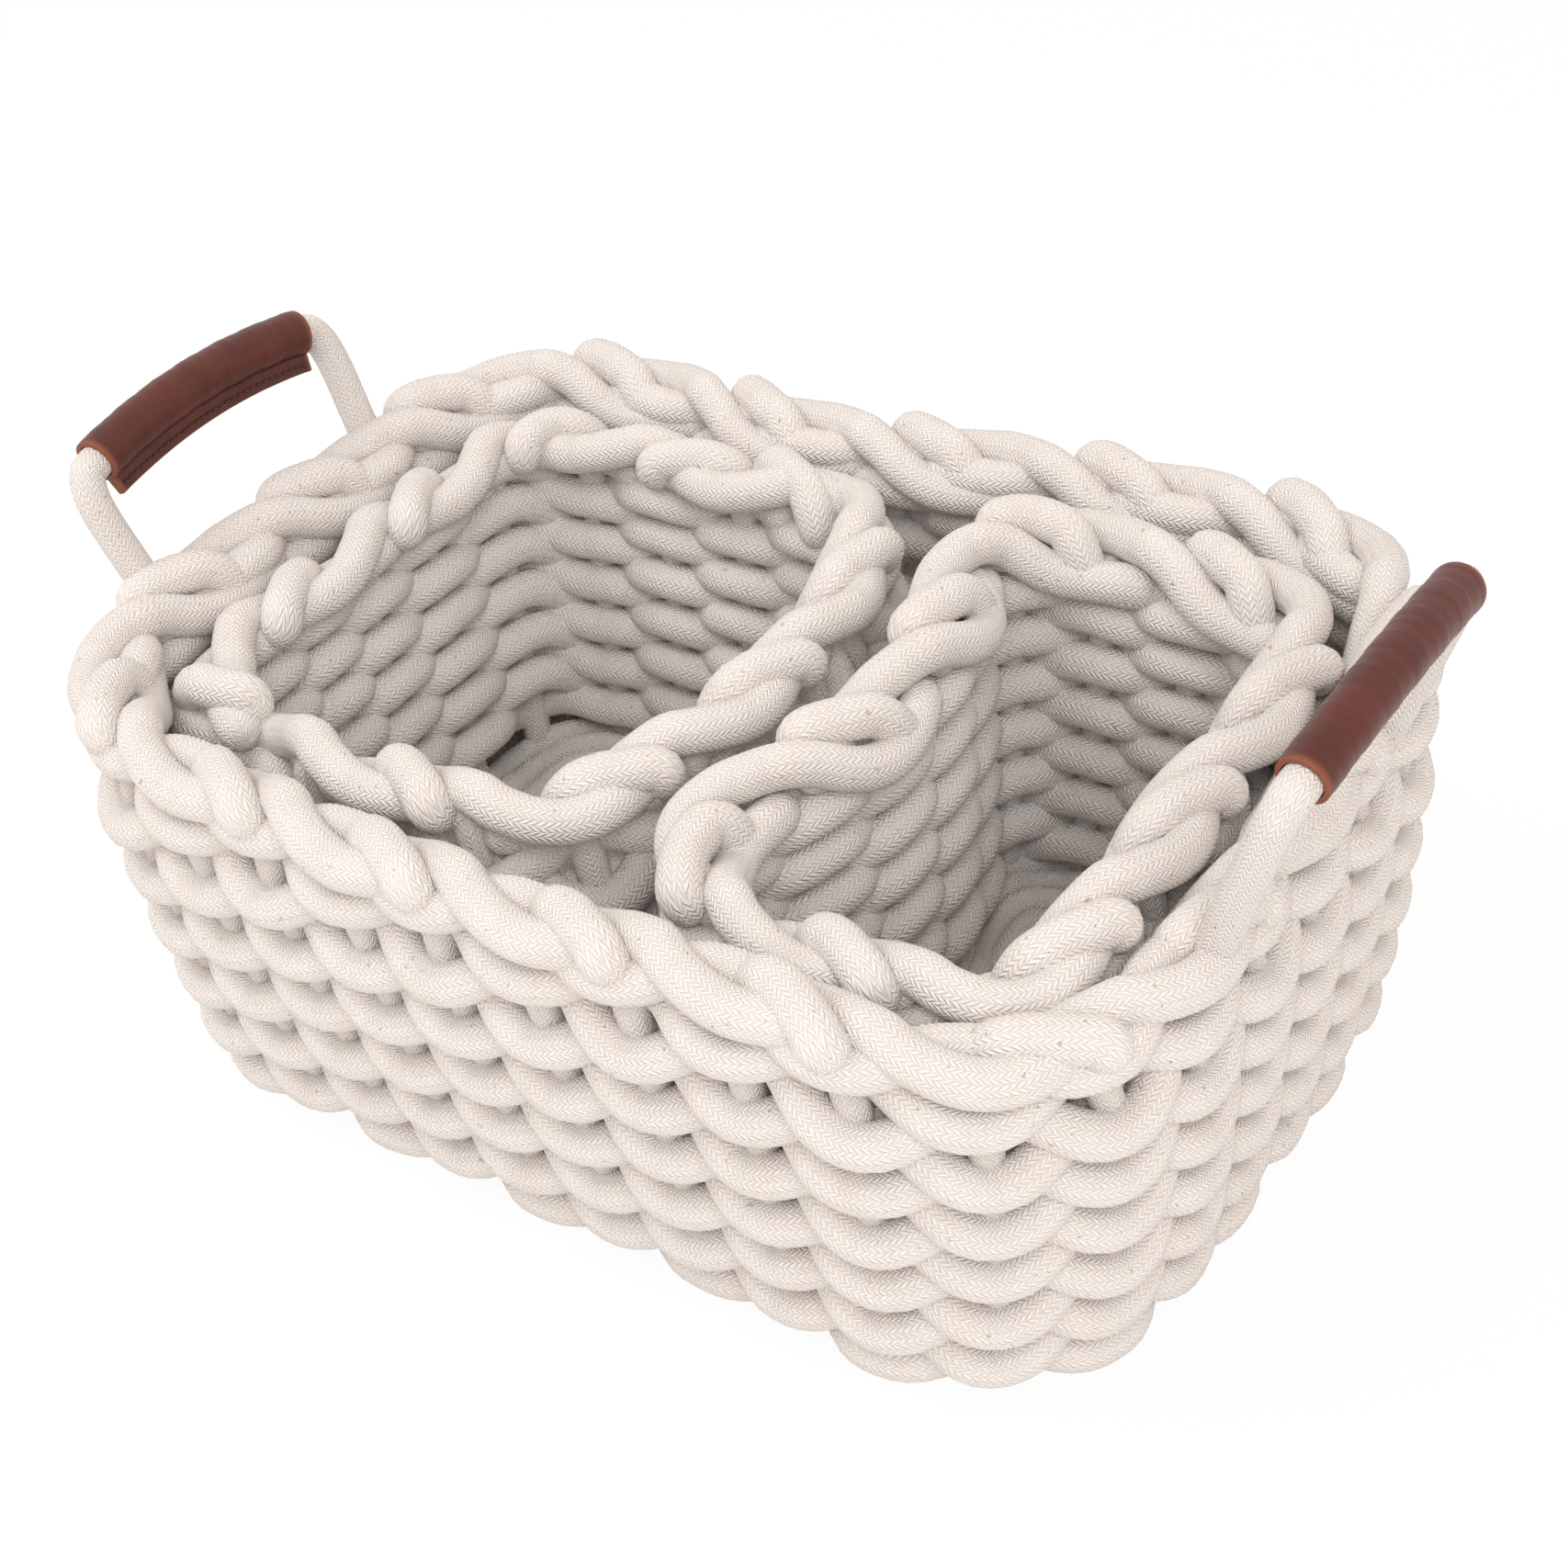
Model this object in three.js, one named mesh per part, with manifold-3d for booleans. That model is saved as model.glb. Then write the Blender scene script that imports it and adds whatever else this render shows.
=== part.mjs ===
// A nesting set of baskets woven from thick cotton cord: one large basket with two cord
// handles in leather sleeves, and two smaller baskets side by side inside it.
// Millimetres, +Z up. The origin is the middle of the large basket's underside, and X
// runs along its long side. Each basket is divided into its floor, its rounds of weaving
// from the bottom up, and the border that finishes its rim.

import * as THREE from 'three';
import { mergeVertices } from 'three/addons/utils/BufferGeometryUtils.js';
import Module from 'manifold-3d';

const wasm = await Module();
wasm.setup();

// Cord, weave and fits
const cordDiameter = 11;
const largeStakeCount = 34; // upright cords that the rounds are woven round
const innerStakeCount = 18;
const scallop = 1.2; // a round bulges this far at each stake
const seatGap = 0.3; // between pieces that rest on each other
const nestGap = 2.5; // between an inner basket's wall and the wall beside it

// Large basket, measured on the middle line of its wall
const largeRimLength = 357.4;
const largeRimWidth = 254.8;
const largeRimCorner = 65;
const largeFloorLength = 321.5;
const largeFloorWidth = 216.2;
const largeFloorCorner = 50.6;
const rimFrontBow = 7.7; // the front of the rim swells outwards
const rimBackBow = -4.4; // the middle of its back is pressed in
const rimBackSway = 7.6; // and its back swells at the right and draws in at the left
const floorBow = -4.1; // the long sides are pressed in at the floor
const endBow = 2.1; // the short sides swell outwards
const rimShiftY = 1.2; // the rim's middle stands this far behind the origin
const floorShiftX = -1.7; // and the floor's middle this far to its left
const floorShiftY = 3; // and this far behind it
const leanCurve = 0.56; // below 1 the walls lean out most near the floor
const largeFloorThickness = 12;
const largeRoundCount = 5;
const largeRoundHeight = 21.6; // two rows of cord
const largeRimHeight = 25.8; // a row of cord and the border over it

// Inner baskets. Their outer sides follow the large basket's wall
const innerCorner = 38;
const innerFrontInset = 2; // their fronts stand this much further in
const leftBackInset = 14; // and the left one's back this much
const rightBackInset = 7; // and the right one's back this much
const leftMeetX = 7; // the left basket's side where the two meet
const leftMeetBow = 12; // that side swells outwards
const rightMeetX = 30; // the right basket's side where the two meet
const rightMeetDent = 22; // that side is pressed in
const meetTaper = 6; // each meeting side draws in by this much down to the floor
const innerFloorThickness = 11;
const innerRoundCount = 6;
const innerRoundHeight = 17; // two rows of cord, packed closer
const innerRimHeight = 21;

// Woven surface of the floors and of the border
const floorEdgeInset = 2.8; // from the wall's outer face in to the floor's edge
const floorFootInset = 5; // from that edge in to the flat underside
const floorRows = 3; // from the wall to the middle
const floorRowDip = 2.2; // between two rows
const crownDip = 7.7; // the border's crown falls by this much between two links
const crownSway = 3.3; // and sways this far to each side
const crownRound = 3.9; // from the crown down to its shoulders

// Handles. Each swings about a line through the two places where its cord enters the rim.
// Its height runs from that line to the cord at the top of the arch, and it leans
// outwards at rest by an angle in degrees
const leftHandle = { name: 'left', side: -1, middleY: -8.5, height: 54.5, lean: 23 };
const rightHandle = { name: 'right', side: 1, middleY: 1.5, height: 63, lean: 19.5 };
const handleLegSpacing = 102;
const handleLegBow = 3; // each leg swells outwards
const mouthDrop = 4.5; // from the top of the arch to the cord at the sleeve's mouths
const shoulderDrop = 18; // and to where the legs begin to turn
const handleFoldOut = 60; // degrees from rest to the outward limit
const handleFoldIn = 52; // degrees from rest to the inward limit
const foldMargin = 2; // degrees that a slot opens past each limit
const handleDepth = 11; // from the top of the rim down to the swing line
const legSideRoom = 1.2; // on each side of a leg in its slot
const legEndRoom = 0.35; // round a leg's rounded end

// Leather sleeves, sewn round the handle cords
const sleeveLength = 92;
const sleeveRoom = 0.4; // between the cord and its sleeve
const leatherThickness = 1.6;
const seamDepth = 5.5; // the sewn edges stand out this far from the tube
const seamRound = 0.4; // the cut edges are rounded by this much
const seamInset = 2.6; // from the cut edge to the row of stitches
const threadDiameter = 0.9;

// Worked out from the sizes above
const wall = 2 * cordDiameter; // the cord passes in front of a stake and behind the next
const largeRimLow = largeFloorThickness + seatGap + largeRoundCount * largeRoundHeight;
const largeTop = largeRimLow + largeRimHeight;
const innerLow = largeFloorThickness + seatGap;
const pivotX = largeRimLength / 2 + endBow;
const pivotZ = largeTop - handleDepth;
const boreRadius = cordDiameter / 2 + sleeveRoom;
const sleeveRadius = boreRadius + leatherThickness;

// Colours and finishes
const cottonCord = new THREE.MeshStandardMaterial({ color: 0xece6dd, roughness: 0.95, metalness: 0 });
const brownLeather = new THREE.MeshStandardMaterial({ color: 0x6b2519, roughness: 0.42, metalness: 0 });
const brownThread = new THREE.MeshStandardMaterial({ color: 0x4a1710, roughness: 0.7, metalness: 0 });

const basketSet = new THREE.Group();

function addMesh(parent, name, geometry, material) {
  const mesh = new THREE.Mesh(geometry, material);
  mesh.name = name;
  parent.add(mesh);
}

function mix(from, to, share) {
  return from + (to - from) * share;
}

// A geometry from points and triangles. The faces are turned to point outwards
function meshGeometry(points, faces) {
  let volume = 0;
  for (let i = 0; i < faces.length; i += 3) {
    const [a, b, c] = [points[faces[i]], points[faces[i + 1]], points[faces[i + 2]]];
    volume += a.dot(new THREE.Vector3().crossVectors(b, c));
  }
  const positions = points.flatMap((point) => point.toArray());
  const geometry = new THREE.BufferGeometry();
  geometry.setAttribute('position', new THREE.Float32BufferAttribute(positions, 3));
  geometry.setIndex(volume < 0 ? faces.slice().reverse() : faces);
  return geometry;
}

// A geometry from rings of points. A closed sweep joins its last ring to its first, and
// an open one is capped with a fan at each end
function ringGeometry(rings, closed) {
  const count = rings[0].length;
  const points = rings.flat();
  const faces = [];
  const spans = closed ? rings.length : rings.length - 1;
  for (let i = 0; i < spans; i += 1) {
    const here = i * count;
    const next = ((i + 1) % rings.length) * count;
    for (let k = 0; k < count; k += 1) {
      const m = (k + 1) % count;
      faces.push(here + k, next + k, next + m, here + k, next + m, here + m);
    }
  }
  const capped = closed ? [] : [0, rings.length - 1];
  for (const ring of capped) {
    const centre = points.length;
    const sum = rings[ring].reduce((total, point) => total.add(point), new THREE.Vector3());
    points.push(sum.divideScalar(count));
    for (let k = 0; k < count; k += 1) {
      const edge = [ring * count + k, ring * count + ((k + 1) % count)];
      faces.push(centre, ...(ring === 0 ? edge : edge.reverse()));
    }
  }
  return meshGeometry(points, faces);
}

// Solid cutting
function toSolid(geometry) {
  const bare = geometry.clone();
  bare.deleteAttribute('normal');
  bare.deleteAttribute('uv');
  const merged = mergeVertices(bare, 1e-5);
  return new wasm.Manifold(new wasm.Mesh({
    numProp: 3,
    vertProperties: new Float32Array(merged.attributes.position.array),
    triVerts: new Uint32Array(merged.index.array),
  }));
}

function toGeometry(solid) {
  const mesh = solid.getMesh();
  const geometry = new THREE.BufferGeometry();
  geometry.setAttribute('position', new THREE.Float32BufferAttribute(mesh.vertProperties, 3));
  geometry.setIndex(Array.from(mesh.triVerts));
  return geometry;
}

// A plan is a rounded rectangle given by its four sides, which bow out or in. This gives
// the point on its unbowed outline at a distance from the front left corner's end,
// anticlockwise, from the middle of the plan
function cornerWalk(halfX, halfY, corner) {
  const straightX = 2 * (halfX - corner);
  const straightY = 2 * (halfY - corner);
  const quarter = (Math.PI / 2) * corner;
  const perimeter = 2 * (straightX + straightY) + 4 * quarter;
  const place = (distance) => {
    let rest = (distance + perimeter) % perimeter;
    let x = -straightX / 2;
    let y = -halfY;
    for (const side of [0, 1, 2, 3]) {
      const length = side % 2 === 0 ? straightX : straightY;
      const heading = (side * Math.PI) / 2;
      const straight = Math.min(rest, length);
      x += Math.cos(heading) * straight;
      y += Math.sin(heading) * straight;
      rest -= straight;
      const turn = Math.min(rest / corner, Math.PI / 2);
      x += corner * (Math.sin(heading + turn) - Math.sin(heading));
      y += corner * (Math.cos(heading) - Math.cos(heading + turn));
      rest -= turn * corner;
    }
    return [x, y];
  };
  return { perimeter, place };
}

// A plan's outline, sampled at even steps, with the outward direction at each point
function outline(plan, steps) {
  const halfX = (plan.right - plan.left) / 2;
  const halfY = (plan.back - plan.front) / 2;
  const { perimeter, place } = cornerWalk(halfX, halfY, Math.min(plan.corner, halfX, halfY));
  const swell = (share) => Math.max(0, 1 - share * share) ** 2;
  const bowed = (distance) => {
    const [x, y] = place(distance);
    const u = x / halfX;
    const v = y / halfY;
    const bowX = (u > 0 ? plan.bowRight : -plan.bowLeft) * swell(v);
    const sway = v > 0 ? plan.backSway * Math.sin(Math.PI * u) : 0;
    const bowY = (v > 0 ? plan.bowBack : -plan.bowFront) * swell(u) + sway;
    return [
      plan.left + halfX + x + bowX * u * u,
      plan.front + halfY + y + bowY * v * v,
    ];
  };
  return Array.from({ length: steps }, (_, i) => {
    const distance = (i / steps) * perimeter;
    const [x, y] = bowed(distance);
    const [x1, y1] = bowed(distance - 1);
    const [x2, y2] = bowed(distance + 1);
    const length = Math.hypot(x2 - x1, y2 - y1);
    return { x, y, outX: (y2 - y1) / length, outY: (x1 - x2) / length };
  });
}

function inset(plan, depth) {
  return {
    ...plan,
    left: plan.left + depth,
    right: plan.right - depth,
    front: plan.front + depth,
    back: plan.back - depth,
    corner: Math.max(plan.corner - depth, cordDiameter / 2),
  };
}

// A ring of points round a plan, from a section given as [outwards, height]
function sectionAt(at, section) {
  return section.map(([out, z]) => new THREE.Vector3(at.x + at.outX * out, at.y + at.outY * out, z));
}

// The share of the walls' lean that is reached at a height
function leanShare(z) {
  return THREE.MathUtils.clamp(z / largeTop, 0, 1) ** leanCurve;
}

function largePlan(z) {
  const share = leanShare(z);
  const halfX = mix(largeFloorLength, largeRimLength, share) / 2;
  const halfY = mix(largeFloorWidth, largeRimWidth, share) / 2;
  const middleX = mix(floorShiftX, 0, share);
  const middleY = mix(floorShiftY, rimShiftY, share);
  return {
    left: middleX - halfX,
    right: middleX + halfX,
    front: middleY - halfY,
    back: middleY + halfY,
    corner: mix(largeFloorCorner, largeRimCorner, share),
    bowLeft: endBow,
    bowRight: endBow,
    bowFront: mix(floorBow, rimFrontBow, share),
    bowBack: mix(floorBow, rimBackBow, share),
    backSway: mix(0, rimBackSway, share),
  };
}

function innerPlan(z, isLeft) {
  const drawnIn = meetTaper * (1 - leanShare(z));
  const around = inset(largePlan(z), wall + nestGap);
  return {
    left: isLeft ? around.left : rightMeetX + drawnIn,
    right: isLeft ? leftMeetX - drawnIn : around.right,
    front: around.front + innerFrontInset,
    back: around.back - (isLeft ? leftBackInset : rightBackInset),
    corner: innerCorner,
    bowLeft: isLeft ? 0 : -rightMeetDent,
    bowRight: isLeft ? leftMeetBow : 0,
    bowFront: 0,
    bowBack: 0,
    backSway: 0,
  };
}

// One round of weaving: a ring two cords thick, whose outer and inner faces bulge at
// every stake
function roundGeometry(plan, low, high, stakes) {
  const rings = outline(plan, 2 * stakes).map((at, i) => {
    const face = wall / 2 - (i % 2 === 0 ? 0 : scallop);
    const shoulder = 0.68 * face;
    const middle = (low + high) / 2;
    return sectionAt(at, [
      [face, middle],
      [shoulder, high],
      [-shoulder, high],
      [-face, middle],
      [-shoulder, low],
      [shoulder, low],
    ]);
  });
  return ringGeometry(rings, true);
}

// The border: each link spans two stakes and climbs over the wall from its inner to its
// outer side, so the crown rises, falls and sways once a link
function rimGeometry(plan, low, height, stakes) {
  const stepsPerLink = 4;
  const links = stakes / 2;
  const half = wall / 2;
  const foot = 0.7 * half;
  const crown = 0.3 * half;
  const waist = low + 0.42 * height;
  const rings = outline(plan, links * stepsPerLink).map((at, i) => {
    const phase = (2 * Math.PI * i) / stepsPerLink;
    const top = low + height - (crownDip / 2) * (1 - Math.cos(phase));
    const sway = crownSway * Math.sin(phase);
    return sectionAt(at, [
      [foot, low],
      [half, waist],
      [foot + sway, top - crownRound],
      [crown + sway, top],
      [-crown + sway, top],
      [-foot + sway, top - crownRound],
      [-half, waist],
      [-foot, low],
    ]);
  });
  return ringGeometry(rings, true);
}

// The floor: a flat slab with a rounded lower edge, whose upper face is woven in rows
// that follow the outline in towards the middle
function floorGeometry(plan, low, thickness, steps) {
  const edge = inset(plan, floorEdgeInset - wall / 2);
  const high = low + thickness;
  const rowStart = wall - scallop;
  const narrow = Math.min(edge.right - edge.left, edge.back - edge.front) / 2;
  const rowPitch = (narrow - rowStart - cordDiameter) / floorRows;
  const levels = [
    [floorFootInset, low],
    [0, (low + high) / 2],
    [seatGap + scallop, high],
    [rowStart, high],
  ];
  for (let row = 0; row < floorRows; row += 1) {
    levels.push([rowStart + rowPitch * (row + 0.25), high - floorRowDip]);
    levels.push([rowStart + rowPitch * (row + 1), high]);
  }
  const rings = levels.map(([depth, z]) => {
    return outline(inset(edge, depth), steps).map((at) => new THREE.Vector3(at.x, at.y, z));
  });
  return ringGeometry(rings, false);
}

// The slot in the rim that a handle's leg swings in, and that its rounded end sits in. It
// is drawn as [outwards, up] from the swing line: two sides that fan open to the fold
// limits, and an arc round the leg's end
function legSlot(handle, y) {
  const reach = largeRimHeight + wall;
  const round = cordDiameter / 2 + legEndRoom;
  const width = cordDiameter + 2 * legSideRoom;
  const outwards = THREE.MathUtils.degToRad(handle.lean + handleFoldOut + foldMargin);
  const inwards = THREE.MathUtils.degToRad(handle.lean - handleFoldIn - foldMargin);
  const ray = (angle, distance) => {
    return new THREE.Vector2(Math.sin(angle), Math.cos(angle)).multiplyScalar(distance);
  };
  const arcSteps = 8;
  const arcStart = outwards + Math.PI / 2;
  const arcEnd = inwards + (3 * Math.PI) / 2;
  const points = [ray(outwards, reach).add(ray(arcStart, round))];
  for (let i = 0; i <= arcSteps; i += 1) {
    points.push(ray(mix(arcStart, arcEnd, i / arcSteps), round));
  }
  points.push(ray(inwards, reach).add(ray(arcEnd, round)));
  points.push(ray(0, 1.5 * reach), ray(outwards / 2, 1.5 * reach));
  const geometry = new THREE.ExtrudeGeometry(new THREE.Shape(points), { depth: width, bevelEnabled: false });
  geometry.rotateX(Math.PI / 2);
  geometry.translate(0, width / 2, 0);
  geometry.rotateZ(handle.side < 0 ? Math.PI : 0);
  geometry.translate(handle.side * pivotX, handle.middleY + y, pivotZ);
  return toSolid(geometry);
}

// Builds one basket's nodes from the floor up
function addBasket(name, planAt, sizes) {
  const group = new THREE.Group();
  const floor = floorGeometry(planAt(sizes.low), sizes.low, sizes.floorThickness, sizes.floorSteps);
  addMesh(group, `${name}_floor`, floor, cottonCord);
  const wallLow = sizes.low + sizes.floorThickness + seatGap;
  for (let i = 0; i < sizes.rounds; i += 1) {
    const low = wallLow + i * sizes.roundHeight;
    const high = low + sizes.roundHeight - seatGap;
    const round = roundGeometry(planAt((low + high) / 2), low, high, sizes.stakes);
    addMesh(group, `${name}_round_${i + 1}`, round, cottonCord);
  }
  const rimLow = wallLow + sizes.rounds * sizes.roundHeight;
  const rimPlan = planAt(rimLow + sizes.rimHeight / 2);
  const rim = rimGeometry(rimPlan, rimLow, sizes.rimHeight, sizes.stakes);
  const cutRim = sizes.slots.reduce((solid, slot) => solid.subtract(slot), toSolid(rim));
  addMesh(group, `${name}_rim`, toGeometry(cutRim), cottonCord);
  basketSet.add(group);
}

const legY = handleLegSpacing / 2;

addBasket('large_basket', largePlan, {
  low: 0,
  floorThickness: largeFloorThickness,
  floorSteps: 32,
  stakes: largeStakeCount,
  rounds: largeRoundCount,
  roundHeight: largeRoundHeight,
  rimHeight: largeRimHeight,
  slots: [leftHandle, rightHandle].flatMap((handle) => [legSlot(handle, -legY), legSlot(handle, legY)]),
});

for (const isLeft of [true, false]) {
  addBasket(isLeft ? 'left_inner_basket' : 'right_inner_basket', (z) => innerPlan(z, isLeft), {
    low: innerLow,
    floorThickness: innerFloorThickness,
    floorSteps: 24,
    stakes: innerStakeCount,
    rounds: innerRoundCount,
    roundHeight: innerRoundHeight,
    rimHeight: innerRimHeight,
    slots: [],
  });
}

// Handles are drawn in their own plane: Y along the sleeve, Z from the swing line up.
// Each leg rises nearly straight, swells outwards and turns in to the sleeve's mouth
const sleeveHalf = sleeveLength / 2;

function handlePath(height) {
  const shoulderZ = height - shoulderDrop;
  const mouthZ = height - mouthDrop;
  const halfPath = [
    [legY, 0],
    [legY + 0.5 * handleLegBow, 0.45 * shoulderZ],
    [legY + handleLegBow, shoulderZ],
    [mix(sleeveHalf, legY + handleLegBow, 0.75), mix(shoulderZ, mouthZ, 0.75)],
    [sleeveHalf, mouthZ],
    [sleeveHalf / 2, height - 0.25 * mouthDrop],
  ];
  return new THREE.CatmullRomCurve3([
    ...halfPath.map(([y, z]) => new THREE.Vector3(0, -y, z)),
    new THREE.Vector3(0, 0, height),
    ...halfPath.slice().reverse().map(([y, z]) => new THREE.Vector3(0, y, z)),
  ]);
}

function pathFrame(path, share) {
  const point = path.getPoint(share);
  const along = path.getTangent(share);
  const up = new THREE.Vector3(1, 0, 0).cross(along);
  return { point, along, up };
}

// The share of the path at which it passes a given Y, near the top of the arch
function shareAtY(path, y) {
  let low = 0.3;
  let high = 0.7;
  for (let i = 0; i < 40; i += 1) {
    const middle = (low + high) / 2;
    if (path.getPoint(middle).y < y) {
      low = middle;
    } else {
      high = middle;
    }
  }
  return (low + high) / 2;
}

// A section given as [across, up], placed on the path
function ringAt(frame, section) {
  return section.map(([across, up]) => {
    return frame.point.clone().addScaledVector(frame.up, up).add(new THREE.Vector3(across, 0, 0));
  });
}

// A circle's points, from the one at the bottom
function circle(radius, sides) {
  return Array.from({ length: sides }, (_, i) => {
    const angle = (2 * Math.PI * i) / sides - Math.PI / 2;
    return [Math.cos(angle) * radius, Math.sin(angle) * radius];
  });
}

// The cord from one rounded end, up one leg, through the sleeve and down the other leg
function handleCordGeometry(path) {
  const sides = 8;
  const steps = 26;
  const radius = cordDiameter / 2;
  const roundedEnd = (share, sign) => [0.35, 0.75].map((part) => {
    const angle = part * (Math.PI / 2);
    const frame = pathFrame(path, share);
    frame.point.addScaledVector(frame.along, sign * Math.cos(angle) * radius);
    return ringAt(frame, circle(Math.sin(angle) * radius, sides));
  });
  const rings = roundedEnd(0, -1);
  for (let i = 0; i <= steps; i += 1) {
    rings.push(ringAt(pathFrame(path, i / steps), circle(radius, sides)));
  }
  rings.push(...roundedEnd(1, 1).reverse());
  return ringGeometry(rings, false);
}

// The sleeve is a leather strip wrapped round the cord, with its two edges sewn together
// along the underside. Each point of its section is paired with one on the bore
function sleeveGeometry(path) {
  const sides = 12;
  const steps = 8;
  const skin = circle(sleeveRadius, sides);
  const bore = circle(boreRadius, sides);
  const finEnd = sleeveRadius + seamDepth;
  const pairs = [
    [[0, -finEnd], bore[0]],
    [[leatherThickness, seamRound - finEnd], bore[1]],
    [[leatherThickness, -sleeveRadius], bore[1]],
    ...skin.slice(2, -1).map((point, i) => [point, bore[i + 2]]),
    [[-leatherThickness, -sleeveRadius], bore[sides - 1]],
    [[-leatherThickness, seamRound - finEnd], bore[sides - 1]],
  ];
  const count = pairs.length;
  const points = [];
  const faces = [];
  const quad = (a, b, c, d) => faces.push(a, b, c, a, c, d);
  const from = shareAtY(path, -sleeveHalf);
  const to = shareAtY(path, sleeveHalf);
  for (let i = 0; i <= steps; i += 1) {
    const frame = pathFrame(path, mix(from, to, i / steps));
    points.push(...ringAt(frame, pairs.map(([outer]) => outer)));
    points.push(...ringAt(frame, pairs.map(([, inner]) => inner)));
  }
  const last = steps * 2 * count;
  for (let k = 0; k < count; k += 1) {
    const m = (k + 1) % count;
    for (let here = 0; here < last; here += 2 * count) {
      const next = here + 2 * count;
      quad(here + k, next + k, next + m, here + m);
      quad(here + count + k, here + count + m, next + count + m, next + count + k);
    }
    quad(k, m, count + m, count + k);
    quad(last + k, last + count + k, last + count + m, last + m);
  }
  return toGeometry(toSolid(meshGeometry(points, faces)));
}

// The seam's thread lies along both faces of the sewn edges and round their ends
function threadGeometry(path) {
  const sides = 4;
  const steps = 12;
  const off = leatherThickness + seatGap + threadDiameter / 2;
  const drop = sleeveRadius + seamDepth - seamInset;
  const endReach = seatGap + threadDiameter;
  const from = shareAtY(path, -sleeveHalf);
  const to = shareAtY(path, sleeveHalf);
  const line = [];
  for (let i = 0; i <= steps; i += 1) {
    const frame = pathFrame(path, mix(from, to, i / steps));
    const pastEnd = { [0]: -endReach, [steps]: endReach }[i] ?? 0;
    line.push(frame.point.addScaledVector(frame.up, -drop).addScaledVector(frame.along, pastEnd));
  }
  const loop = [
    ...line.map((point) => point.clone().setX(off)),
    ...line.map((point) => point.clone().setX(-off)).reverse(),
  ];
  const rings = loop.map((point, i) => {
    const before = loop[(i + loop.length - 1) % loop.length];
    const after = loop[(i + 1) % loop.length];
    const along = after.clone().sub(before).normalize();
    const side = new THREE.Vector3(0, 0, 1).cross(along).normalize();
    const up = along.clone().cross(side);
    return circle(threadDiameter / 2, sides).map(([a, b]) => {
      return point.clone().addScaledVector(side, a).addScaledVector(up, b);
    });
  });
  return ringGeometry(rings, true);
}

for (const { name, side, middleY, height, lean } of [leftHandle, rightHandle]) {
  const path = handlePath(height);
  const foot = new THREE.Group();
  foot.position.set(side * pivotX, middleY, pivotZ);
  foot.rotation.z = side > 0 ? Math.PI : 0;
  const leaning = new THREE.Group();
  leaning.rotation.y = -THREE.MathUtils.degToRad(lean);
  addMesh(leaning, `${name}_handle_cord`, handleCordGeometry(path), cottonCord);
  addMesh(leaning, `${name}_handle_sleeve`, sleeveGeometry(path), brownLeather);
  addMesh(leaning, `${name}_sleeve_thread`, threadGeometry(path), brownThread);
  foot.add(leaning);
  basketSet.add(foot);
}

export default basketSet;
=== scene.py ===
import math
import bpy
from mathutils import Matrix, Vector


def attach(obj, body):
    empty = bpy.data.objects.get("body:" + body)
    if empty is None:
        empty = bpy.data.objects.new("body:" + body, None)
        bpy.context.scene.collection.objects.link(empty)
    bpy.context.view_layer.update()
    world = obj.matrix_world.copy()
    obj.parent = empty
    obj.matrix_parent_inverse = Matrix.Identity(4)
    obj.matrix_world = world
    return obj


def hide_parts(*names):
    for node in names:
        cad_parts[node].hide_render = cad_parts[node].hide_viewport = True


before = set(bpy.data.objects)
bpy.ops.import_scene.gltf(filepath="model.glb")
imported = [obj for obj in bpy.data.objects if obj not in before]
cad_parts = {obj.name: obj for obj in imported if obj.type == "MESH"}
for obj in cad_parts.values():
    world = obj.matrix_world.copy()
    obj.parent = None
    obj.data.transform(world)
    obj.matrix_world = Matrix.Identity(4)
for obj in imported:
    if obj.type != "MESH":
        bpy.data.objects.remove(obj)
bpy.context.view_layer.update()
mm = 0.001
collection = bpy.context.scene.collection

# The camera, in millimetres and degrees
viewpoint = {
    "azimuth": 37.682,
    "elevation": 37.411,
    "distance": 808.06,
    "target": (14.505, 2.5, 83.555),
    "roll": -6.238,
    "lens": 60.673,
    "shiftX": -0.01046,
    "shiftY": 0.01473,
}


def setCamera(values):
    azimuth = math.radians(values["azimuth"])
    elevation = math.radians(values["elevation"])
    roll = math.radians(values["roll"])
    back = Vector((
        math.sin(azimuth) * math.cos(elevation),
        -math.cos(azimuth) * math.cos(elevation),
        math.sin(elevation),
    ))
    level = (-back).cross(Vector((0, 0, 1))).normalized()
    rise = level.cross(-back)
    across = level * math.cos(roll) + rise * math.sin(roll)
    up = rise * math.cos(roll) - level * math.sin(roll)
    camera = bpy.data.objects.new("camera", bpy.data.cameras.new("camera"))
    collection.objects.link(camera)
    place = Matrix((across, up, back)).transposed().to_4x4()
    place.translation = (Vector(values["target"]) + back * values["distance"]) * mm
    camera.matrix_world = place
    camera.data.sensor_width = 36
    camera.data.lens = values["lens"]
    camera.data.shift_x = values["shiftX"]
    camera.data.shift_y = values["shiftY"]
    camera.data.clip_start = 0.01
    bpy.context.scene.camera = camera


setCamera(viewpoint)
print("camera set")


# A node tree, with one method that adds any node
class Net:
    def __init__(self, tree):
        self.tree = tree

    def add(self, kind, settings=None, inputs=None):
        node = self.tree.nodes.new(kind)
        for key, value in (settings or {}).items():
            setattr(node, key, value)
        for key, value in (inputs or {}).items():
            if isinstance(value, Value):
                self.tree.links.new(value.socket, node.inputs[key])
            elif value is not None:
                node.inputs[key].default_value = value
        return node

    def value(self, kind, settings=None, inputs=None, output=0):
        return Value(self, self.add(kind, settings, inputs).outputs[output])


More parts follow.
